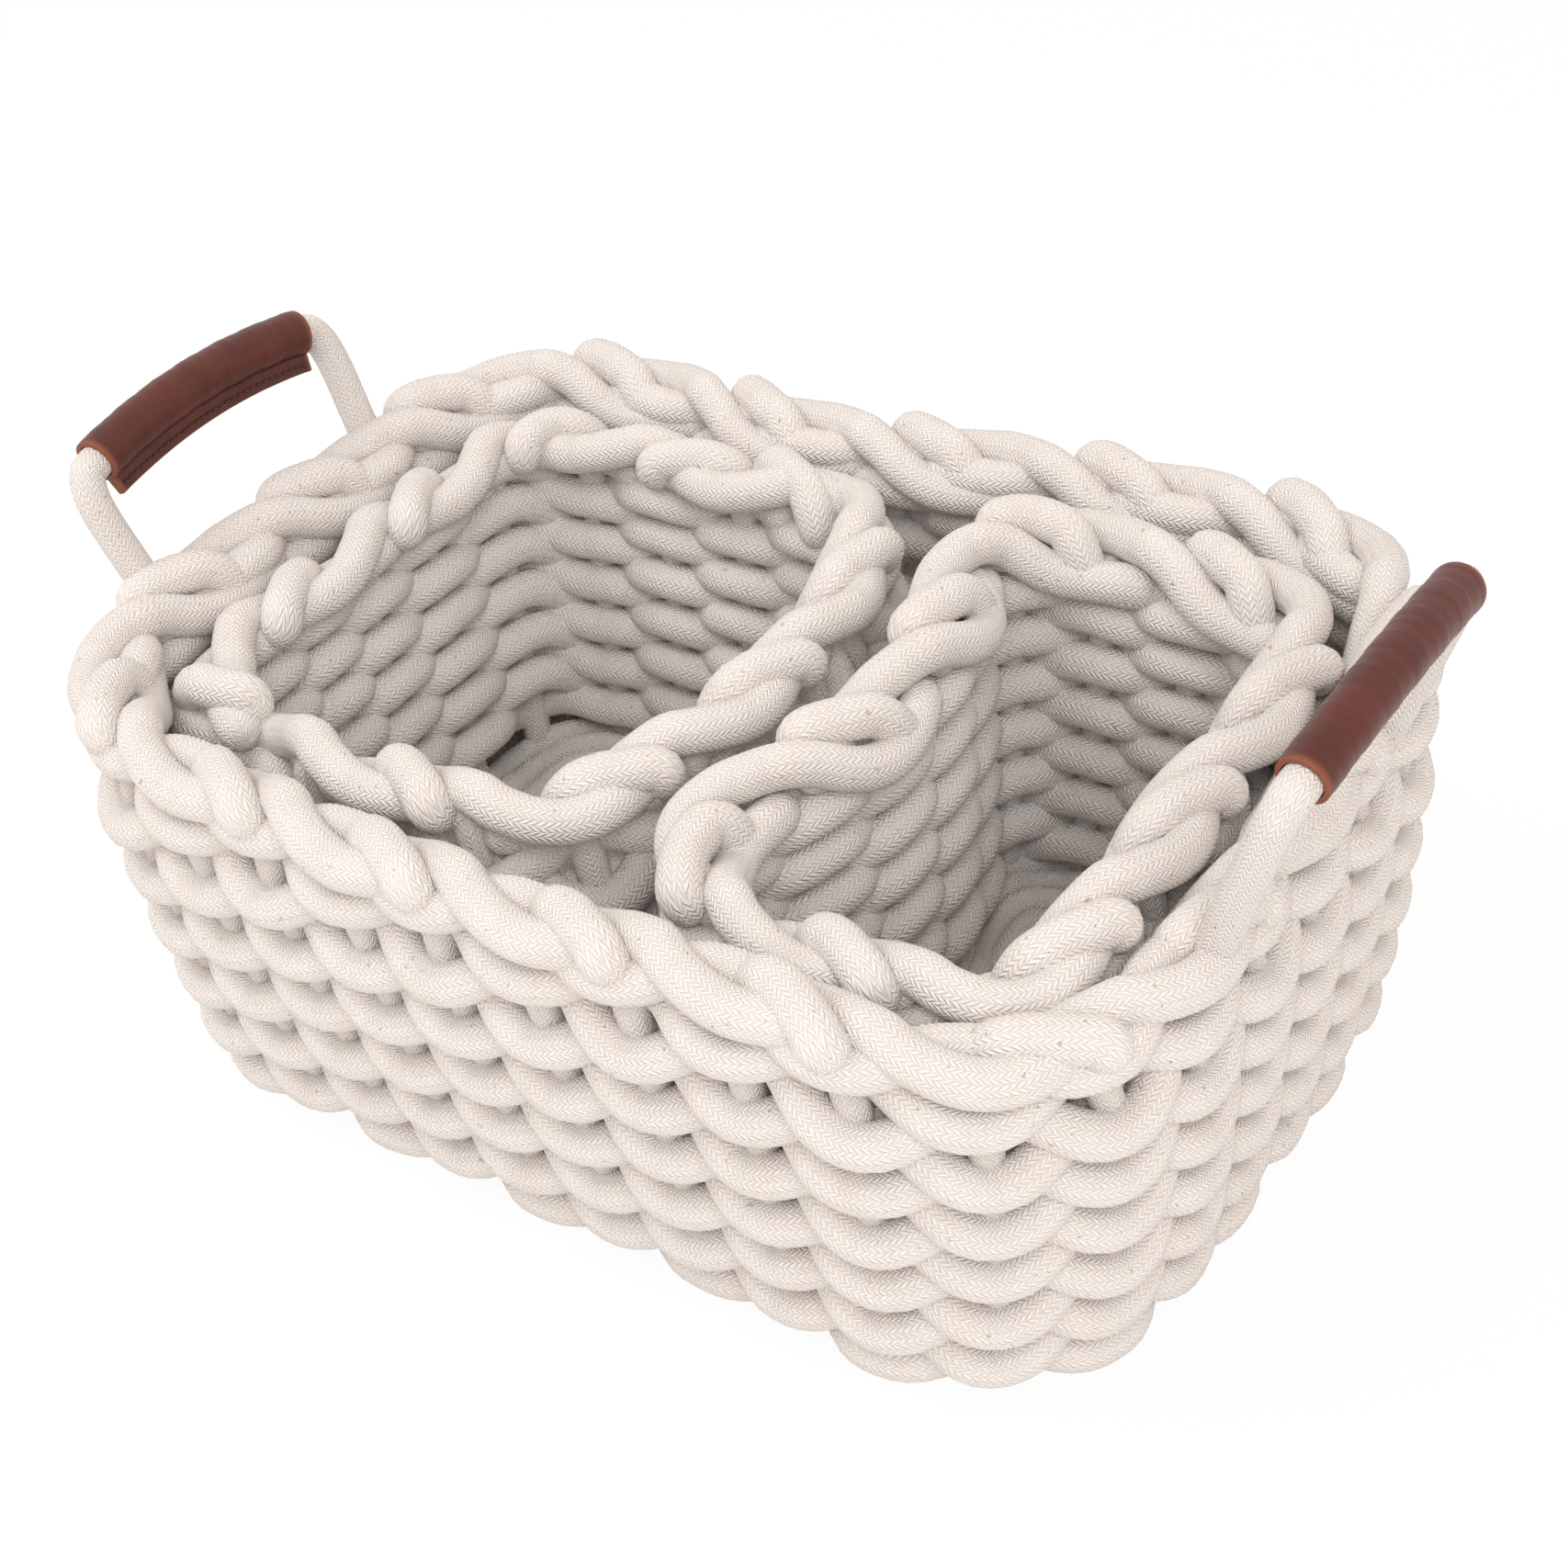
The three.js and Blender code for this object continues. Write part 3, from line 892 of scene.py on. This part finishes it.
# The two rows of one round: where one goes in front of a stake, the other goes behind
def roundMesh(basket, low, rows, seed, slope=1):
    steps = basket["stakes"] * weave["stepsPerStake"]
    seam = weave["seamStep"]
    shares = [i / steps for i in (0, seam, *range(1, steps), steps - seam, steps)]
    lines, turns, outwards, upwards = [], [], [], []
    for row in rows:
        # A round's rows lie at a quarter and three quarters of its height
        z = low + basket["roundHeight"] * (0.25 + 0.5 * row) + weave["sag"] * slope
        found = [wovenPoint(basket, z, share, True) for share in shares]
        lines.append([place for place, _, _ in found])
        outwards.append([outward for _, outward, _ in found])
        upwards.append([upward * slope for _, _, upward in found])
        turns.append([math.pi * (stakeNumber(basket, share, z) + row) for share in shares])
    path = lineObject("path", lines, {"turn": turns, "outward": outwards, "upward": upwards})
    return grown(path, weaverTree, {
        "Swing": weave["swing"] * mm,
        "Tilt": weave["tilt"] * mm,
        "Sag": weave["sag"] * mm,
        **cordInputs(weave["cordRadius"], weave["sides"], weave["shake"], seed),
    })


# A line with a rounded end at both ends, and how thin the cord is at each of its points
def roundEnded(points, radius):
    # How far past the end, and how thin there, at 30, 60 and 90 degrees of a ball
    steps = ((0.5, 0.134), (0.866, 0.5), (1, 1))
    first, last = Vector(points[0]), Vector(points[-1])
    back = (first - Vector(points[1])).normalized() * radius
    ahead = (last - Vector(points[-2])).normalized() * radius
    line = [first + back * share for share, _ in reversed(steps)]
    line += [Vector(point) for point in points]
    line += [last + ahead * share for share, _ in steps]
    ends = [thin for _, thin in steps]
    return line, [*reversed(ends), *([0.0] * len(points)), *ends]


def stakesMesh(basket, low, high, seed):
    lines, thins = [], []
    steps = weave["stakeSteps"]
    for number in range(basket["stakes"]):
        line = []
        for i in range(steps + 1):
            z = mix(low, high, i / steps)
            line.append(wovenPoint(basket, z, stakeShare(basket, number, z), False)[0])
        line, thin = roundEnded(line, weave["stakeRadius"])
        lines.append(line)
        thins.append(thin)
    inputs = cordInputs(weave["stakeRadius"], weave["stakeSides"], seed=seed)
    return grown(lineObject("path", lines, {"thin": thins}), stakeTree, inputs)


# The two cords of one link of the border, as [share of the link, outwards, up]
border = {
    "crownDepth": 2.1,
    "turnedShift": -0.4,
    "shake": 2.0,
    "pathSteps": 240,
    "pieces": 3,  # from one point of a cord to the next
    "sides": 14,
    "cords": [
        [
            (-0.82, -1, -12), (-0.7, -4, -11.5), (-0.55, -6.5, -11.5), (-0.4, -7.8, -11),
            (-0.27, -7.6, -9), (-0.15, -6, -5.5), (-0.04, -3, -1.6), (0.08, 0, 0.8),
            (0.17, 3.2, 0.3), (0.26, 5.6, -0.7), (0.35, 7.5, -1.8), (0.45, 8.3, -3.2),
            (0.55, 8.2, -3.8), (0.65, 6.8, -3.8), (0.75, 4.4, -4.1), (0.85, 2, -5),
            (0.94, 0, -6),
        ],
        [
            (0.46, -4.5, -10), (0.49, -4.2, -6), (0.54, -3, -1.8), (0.6, -1, 1),
            (0.68, 1, 2.2), (0.745, 3.2, 2.4), (0.81, 5.4, 2.2), (0.865, 7.2, 1.4),
            (0.9, 8.4, -0.4), (0.915, 7.4, -3),
        ],
    ],
}


# A curve through all the points, with the same number of pieces from each to the next
def smoothed(points, pieces):
    count = len(points)
    result = []
    for i in range(count - 1):
        a, b, c, d = (Vector(points[min(max(i + k, 0), count - 1)]) for k in (-1, 0, 1, 2))
        for j in range(pieces):
            t = j / pieces
            result.append(
                b + (c - a) * 0.5 * t
                + (a * 2 - b * 5 + c * 4 - d) * 0.5 * t * t
                + (b * 3 - a - c * 3 + d) * 0.5 * t * t * t
            )
    return [*result, Vector(points[-1])]


# One link, with its length counted as 1 and the rest in metres
def linkObject(length):
    lines, thins = [], []
    for cord in border["cords"]:
        points = [(along * length, out, up) for along, out, up in cord]
        line, thin = roundEnded(smoothed(points, border["pieces"]), weave["cordRadius"])
        lines.append([(x / length, y * mm, z * mm) for x, y, z in line])
        thins.append(thin)
    return lineObject("link", lines, {"thin": thins}, 1)


def borderMesh(basket, top, seed):
    steps = border["pathSteps"]
    z = top - border["crownDepth"]
    found = [wovenPoint(basket, z, i / steps, False) for i in range(steps + 1)]
    path = lineObject("path", [[place for place, _, _ in found]], {
        "outward": [[outward for _, outward, _ in found]],
        "upward": [[Vector((0, 0, 1)) for _ in found]],
    })
    length = sum((a - b).length for (a, _, _), (b, _, _) in zip(found, found[1:]))
    link = linkObject(length / basket["links"])
    mesh = grown(path, borderTree, {
        "Link": link,
        "Links": basket["links"],
        "Start": basket["firstLink"],
        "Turned From": basket["turnedFrom"],
        "Turned Shift": border["turnedShift"],
        **cordInputs(weave["cordRadius"], border["sides"], border["shake"], seed),
    })
    bpy.data.objects.remove(link)
    return mesh


# The floor is woven in rings that follow the wall in to the middle
floorWeave = {
    "radius": 5.2,
    "sides": 10,
    "ringStep": 10.4,
    "spread": 2,  # past the wall's plan
    "hole": 3,  # left in the middle
    "lobe": 22,
    "stepsPerLobe": 5,
    "tilt": 1.6,
    "shake": 0.5,
}


def floorMesh(basket):
    form = floorWeave
    z = basket["low"] + basket["floorThickness"] / 2 + basket["floorLift"]
    plan = insetPlan(basket["planAt"](basket["low"]), -form["spread"])
    narrow = min(plan["right"] - plan["left"], plan["back"] - plan["front"]) / 2
    rings = int((narrow - form["hole"]) / form["ringStep"])
    up = Vector((0, 0, 1))
    lines, turns, outwards, upwards = [], [], [], []
    for ring in range(rings):
        share = 1 - ring / rings
        fitted = insetPlan(plan, ring * form["ringStep"])
        for side in ("bowLeft", "bowRight", "bowFront", "bowBack"):
            fitted[side] *= share
        # The way round a rectangle, less what its round corners cut off
        length = 2 * (fitted["right"] - fitted["left"] + fitted["back"] - fitted["front"])
        length -= (8 - math.tau) * fitted["corner"]
        lobes = 2 * max(2, round(length / form["lobe"] / 2))
        steps = lobes * form["stepsPerLobe"]
        spots = [planPoint(fitted, i / steps) for i in range(steps + 1)]
        # A fifth of a step further on, for the direction across the ring
        ahead = [planPoint(fitted, (i + 0.2) / steps) for i in range(steps + 1)]
        lines.append([(x, y, z) for x, y in spots])
        outwards.append([up for _ in spots])
        upwards.append([
            Vector((y2 - y1, x1 - x2, 0)).normalized()
            for (x1, y1), (x2, y2) in zip(spots, ahead)
        ])
        turns.append([math.pi * (lobes * i / steps + ring) for i in range(steps + 1)])
    path = lineObject("path", lines, {"turn": turns, "outward": outwards, "upward": upwards})
    return grown(path, weaverTree, {
        "Swing": basket["floorSwing"] * mm,
        "Tilt": form["tilt"] * mm,
        "Sag": 0.0,
        **cordInputs(form["radius"], form["sides"], form["shake"], basket["seed"]),
    })


def makeBasket(basket):
    name, seed = basket["name"], basket["seed"]
    low = basket["low"]
    wallLow = low + basket["floorThickness"] + weave["wallGap"]
    meshes = [floorMesh(basket)]
    if basket["baseRow"]:
        meshes.append(roundMesh(basket, wallLow, (-1,), seed + 8, weave["baseSlope"]))
    addPiece(f"{name}_floor_cord", meshes, name, "cotton_cord", f"{name}_floor")
    for i in range(basket["rounds"]):
        mesh = roundMesh(basket, wallLow + i * basket["roundHeight"], (0, 1), seed + i)
        node = f"{name}_round_{i + 1}"
        addPiece(f"{node}_cord", [mesh], name, "cotton_cord", node)
    rimLow = wallLow + basket["rounds"] * basket["roundHeight"]
    top = rimLow + basket["rimHeight"]
    meshes = [borderMesh(basket, top, seed)]
    if basket["rimRows"]:
        rows = range(basket["rimRows"])
        meshes.append(roundMesh(basket, rimLow, rows, seed + 9, weave["rimSlope"]))
    addPiece(f"{name}_rim_cord", meshes, name, "cotton_cord", f"{name}_rim")
    stakes = stakesMesh(basket, low + weave["stakeFoot"], top - weave["stakeHead"], seed)
    addPiece(f"{name}_stakes", [stakes], name, "cotton_cord")
    print("woven", name)


for basket in baskets:
    makeBasket(basket)


# Handles, in millimetres. Each is drawn in its own plane, then leaned and placed
handles = [
    {"name": "left", "side": -1, "middleY": -8.5, "height": 54.5, "lean": 23},
    {"name": "right", "side": 1, "middleY": 1.5, "height": 63, "lean": 19.5},
]
handleForm = {
    "legSpacing": 102,
    "legBow": 3,
    "mouthDrop": 4.5,
    "shoulderDrop": 18,
    "pivotX": 180.8,
    "pivotZ": 135.1,
    "pieces": 10,  # from one point of the cord to the next
    "cordRadius": 5.5,
    "cordSides": 20,
}
sleeveForm = {
    "length": 92,
    "steps": 46,
    "radius": 7.5,
    "arcSteps": 36,
    "boreRadius": 5.9,
    "leather": 1.6,
    "finDepth": 5.5,
    "finRoot": 0.12,  # in radians each side, where the bore closes over the fin
    "stiffFrom": 8,  # below the cord's middle, where the fin keeps flat
    "wrinkle": (0.012, 0.9),  # of the radius, and its turn from step to step
    "crease": (0.008, 2.3),
}
seamForm = {
    "inset": 2.6,
    "step": 2.9,
    "radius": 0.42,
    "sides": 6,
    # [along the seam, out of the leather, how thin]
    "stitch": [
        (-1.25, 0.0, 1.0), (-0.9, 0.45, 0.15), (0, 0.62, 0.0), (0.9, 0.45, 0.15),
        (1.25, 0.0, 1.0),
    ],
}


def handlePath(handle):
    form = handleForm
    legY = form["legSpacing"] / 2
    half = sleeveForm["length"] / 2
    shoulder = handle["height"] - form["shoulderDrop"]
    mouth = handle["height"] - form["mouthDrop"]
    # One half of the cord, from its hole in the rim up to near the middle, as [y, z]
    side = [
        (legY, 0),
        (legY + 0.5 * form["legBow"], 0.45 * shoulder),
        (legY + form["legBow"], shoulder),
        (mix(half, legY + form["legBow"], 0.75), mix(shoulder, mouth, 0.75)),
        (half, mouth),
        (half / 2, handle["height"] - 0.25 * form["mouthDrop"]),
    ]
    mirrored = [(-y, z) for y, z in side]
    points = [*mirrored, (0, handle["height"]), *reversed(side)]
    return smoothed([(0, y, z) for y, z in points], form["pieces"])


# From the handle's own plane, where Y runs along the sleeve and Z up from the swing line
def handlePlace(handle):
    form = handleForm
    turn = Matrix.Rotation(math.pi if handle["side"] > 0 else 0, 4, "Z")
    lean = Matrix.Rotation(-math.radians(handle["lean"]), 4, "Y")
    pivot = (handle["side"] * form["pivotX"], handle["middleY"], form["pivotZ"])
    return Matrix.Translation(pivot) @ turn @ lean


# The part of the path inside the sleeve, at even steps, with the direction away from the
# swing line
def sleeveFrames(path, steps):
    half = sleeveForm["length"] / 2
    # The path's points up to a little past the sleeve's ends
    nearby = [j for j in range(len(path) - 1) if abs(path[j].y) <= half + 4]
    frames = []
    for i in range(steps + 1):
        y = mix(-half, half, i / steps)
        k = max(j for j in nearby if path[j].y <= y)
        share = (y - path[k].y) / max(path[k + 1].y - path[k].y, 1e-6)
        place = path[k].lerp(path[k + 1], share)
        before, after = path[max(k - 2, 0)], path[min(k + 3, len(path) - 1)]
        along = (after - before).normalized()
        frames.append((place, along, Vector((1, 0, 0)).cross(along)))
    return frames


# The leather's outside across the cord, as [aside, up] from the inner end of one half of the
# fin, round the cord, to that of the other
def sleeveOutside(finEnd):
    radius, thick = sleeveForm["radius"], sleeveForm["leather"]
    gap = math.asin(thick / radius)
    steps = sleeveForm["arcSteps"]
    angles = [-math.pi / 2 + gap + (math.tau - 2 * gap) * i / steps for i in range(steps + 1)]
    fin = [
        (thick * 1.06, -radius - 1),
        (thick, -radius - 3.2),
        (thick, finEnd + 0.5),
        (thick * 0.8, finEnd + 0.12),
        (0.22, finEnd),
        (0.06, finEnd + 0.5),
    ]
    return [
        *reversed(fin),
        *[(math.cos(angle) * radius, math.sin(angle) * radius) for angle in angles],
        *[(-aside, up) for aside, up in fin],
    ]


# The bore has a point for each point outside, with all of the fin's at its root
def sleeveBore(outside):
    radius = sleeveForm["boreRadius"]
    bore = []
    for aside, up in outside:
        angle = math.atan2(up, aside)
        if up <= -sleeveForm["radius"] * 0.98:
            angle = -math.pi / 2 + math.copysign(sleeveForm["finRoot"], aside)
        bore.append((math.cos(angle) * radius, math.sin(angle) * radius))
    return bore


def sleeveMesh(handle, path):
    form = sleeveForm
    finEnd = -(form["radius"] + form["finDepth"])
    outside = sleeveOutside(finEnd)
    bore = sleeveBore(outside)
    count = len(outside)
    frames = sleeveFrames(path, form["steps"])
    last = len(frames) - 1
    place = handlePlace(handle)
    (wrinkle, wrinkleTurn), (crease, creaseTurn) = form["wrinkle"], form["crease"]
    points, faces, raw = [], [], []  # raw is 1 where the leather's cut edge shows
    for row, (middle, _, upward) in enumerate(frames):
        swell = 1 + wrinkle * math.sin(row * wrinkleTurn + handle["side"])
        swell += crease * math.sin(row * creaseTurn)
        for aside, up in outside:
            rise = up * swell if up > -form["stiffFrom"] else up
            points.append(middle + Vector((1, 0, 0)) * (aside * swell) + upward * rise)
            raw.append(1.0 if row in (0, last) or up < finEnd + 0.3 else 0.0)
        for aside, up in bore:
            points.append(middle + Vector((1, 0, 0)) * aside + upward * up)
            raw.append(1.0)

    # The number of a point of the outside, layer 0, or of the bore, layer 1
    def at(row, layer, k):
        return (row * 2 + layer) * count + k % count

    for row in range(last):
        for k in range(count):
            for layer, here, ahead in ((0, k, k + 1), (1, k + 1, k)):
                near = [at(row, layer, here), at(row, layer, ahead)]
                far = [at(row + 1, layer, ahead), at(row + 1, layer, here)]
                faces.append(near + far)
    for k in range(count):
        faces.append([at(0, 0, k), at(0, 1, k), at(0, 1, k + 1), at(0, 0, k + 1)])
        faces.append([at(last, 0, k + 1), at(last, 1, k + 1), at(last, 1, k), at(last, 0, k)])
    mesh = bpy.data.meshes.new("sleeve")
    mesh.from_pydata([place @ point * mm for point in points], [], faces)
    layer = mesh.attributes.new("rawEdge", "FLOAT", "POINT")
    layer.data.foreach_set("value", raw)
    mesh.materials.append(leather)
    return mesh


# One short stitch at each step of the seam, on both faces of the fin
def threadLines(handle, path):
    place = handlePlace(handle)
    frames = sleeveFrames(path, int(sleeveForm["length"] / seamForm["step"]))
    drop = sleeveForm["radius"] + sleeveForm["finDepth"] - seamForm["inset"]
    lines, thins = [], []
    for side in (-1, 1):
        for middle, along, upward in frames[1:-1]:
            line = []
            for step, depth, _ in seamForm["stitch"]:
                aside = Vector((side * (sleeveForm["leather"] + depth), 0, 0))
                line.append(place @ (middle - upward * drop + along * step + aside))
            lines.append(line)
            thins.append([thin for _, _, thin in seamForm["stitch"]])
    return lineObject("path", lines, {"thin": thins})


def makeHandle(handle):
    name = handle["name"]
    body = f"{name}_handle"
    path = handlePath(handle)
    place = handlePlace(handle)
    line, thin = roundEnded([place @ point for point in path], handleForm["cordRadius"])
    inputs = cordInputs(handleForm["cordRadius"], handleForm["cordSides"])
    mesh = grown(lineObject("path", [line], {"thin": [thin]}), stakeTree, inputs)
    addPiece(f"{body}_braided_cord", [mesh], body, "cotton_cord", f"{body}_cord")
    mesh = sleeveMesh(handle, path)
    addPiece(f"{body}_leather", [mesh], body, "brown_leather", f"{body}_sleeve")
    inputs = cordInputs(seamForm["radius"], seamForm["sides"], material=thread)
    mesh = grown(threadLines(handle, path), stakeTree, inputs)
    addPiece(f"{name}_seam_stitches", [mesh], body, "brown_thread", f"{name}_sleeve_thread")


for handle in handles:
    makeHandle(handle)
print("handles made")


# Floor, background and lights
studio = {
    "floorSize": 12,
    "floorColor": (0.9, 0.9, 0.9, 1),
    "floorDrop": 0.0006,
    "floorLift": 0.93,  # how near the floor is to the white behind it
    "worldColor": (1, 0.915, 0.845, 1),
    "worldStrength": 0.86,
    "lampColor": (0.93, 0.97, 1),
    "lampAim": (0, 0, 0.08),
}
lamps = [
    {"name": "key", "place": (-0.9, -0.5, 1.5), "power": 10.5, "size": 1.0},
    {"name": "fill", "place": (1.1, -1.1, 1.5), "power": 22, "size": 1.4},
]
white = (1, 1, 1, 1)


def makeFloor(values):
    bpy.ops.mesh.primitive_plane_add(
        size=values["floorSize"], location=(0, 0, -values["floorDrop"])
    )
    ground = bpy.context.active_object
    ground.name = "stage_floor"
    material, net = newMaterial("white floor")
    seen = net.value("ShaderNodeLightPath", None, None, "Is Camera Ray")
    surface = net.value("ShaderNodeMixShader", None, {
        0: seen * values["floorLift"],
        1: net.value("ShaderNodeBsdfDiffuse", None, {"Color": values["floorColor"]}),
        2: net.value("ShaderNodeEmission", None, {"Color": white, "Strength": 1.0}),
    })
    finishMaterial(net, surface)
    ground.data.materials.append(material)


def makeWorld(values):
    world = bpy.data.worlds.new("studio")
    world.use_nodes = True
    world.node_tree.nodes.clear()
    net = Net(world.node_tree)
    path = net.add("ShaderNodeLightPath")
    glossy = Value(net, path.outputs["Is Glossy Ray"])
    seen = Value(net, path.outputs["Is Camera Ray"]).maths("MAXIMUM", glossy)
    soft = net.value("ShaderNodeBackground", None, {
        "Color": values["worldColor"],
        "Strength": values["worldStrength"],
    })
    plain = net.value("ShaderNodeBackground", None, {"Color": white, "Strength": 1.0})
    surface = net.value("ShaderNodeMixShader", None, {0: seen, 1: soft, 2: plain})
    output = net.add("ShaderNodeOutputWorld")
    net.tree.links.new(surface.socket, output.inputs["Surface"])
    bpy.context.scene.world = world


def addLamp(values):
    light = bpy.data.lights.new(values["name"], "AREA")
    light.energy = values["power"]
    light.color = studio["lampColor"]
    light.size = values["size"]
    lamp = bpy.data.objects.new(values["name"], light)
    lamp.location = values["place"]
    aim = Vector(studio["lampAim"]) - Vector(values["place"])
    lamp.rotation_euler = aim.to_track_quat("-Z", "Y").to_euler()
    collection.objects.link(lamp)


makeFloor(studio)
makeWorld(studio)
for lamp in lamps:
    addLamp(lamp)
bpy.context.scene.view_settings.view_transform = "Standard"
print("studio set")
